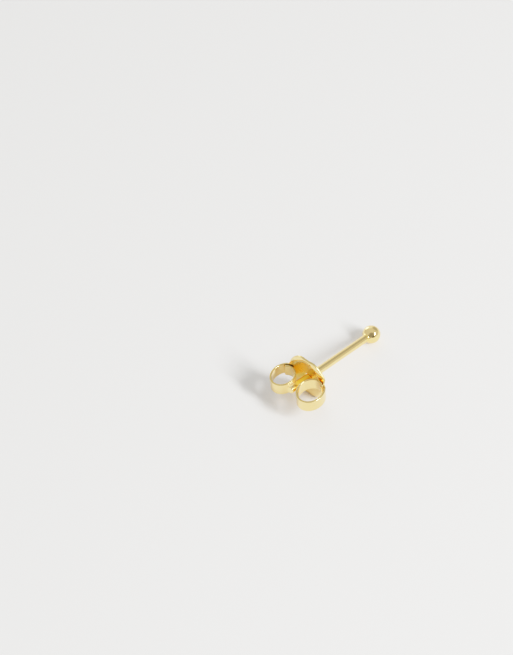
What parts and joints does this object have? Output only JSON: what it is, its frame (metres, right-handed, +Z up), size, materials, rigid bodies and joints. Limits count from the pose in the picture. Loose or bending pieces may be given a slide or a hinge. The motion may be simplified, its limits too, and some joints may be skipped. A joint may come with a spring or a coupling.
{
  "type": "ball stud earring",
  "caption": "Small plain ball stud earring on a straight post with a sliding butterfly back, lying on its ball and on the edge of the back's plate.",
  "frame": {"origin": "middle of the footprint on the surface that the earring lies on", "axes": "+X from the ball towards the post's tail, +Y across from scroll to scroll, +Z up from the surface"},
  "size_m": [0.0132, 0.0058, 0.0049],
  "materials": {
    "stud_gold": "polished gold plate",
    "back_gold": "polished gold plate on stamped sheet"
  },
  "bodies": {
    "stud": {"ball_stud": "stud_gold"},
    "back": {"butterfly_back": "back_gold"}
  },
  "joints": [
    {"name": "back_slide", "type": "slide", "parent": "stud", "child": "back", "axis": [0.9861, 0, 0.1663], "range_m": [-0.0082, 0.004]}
  ]
}
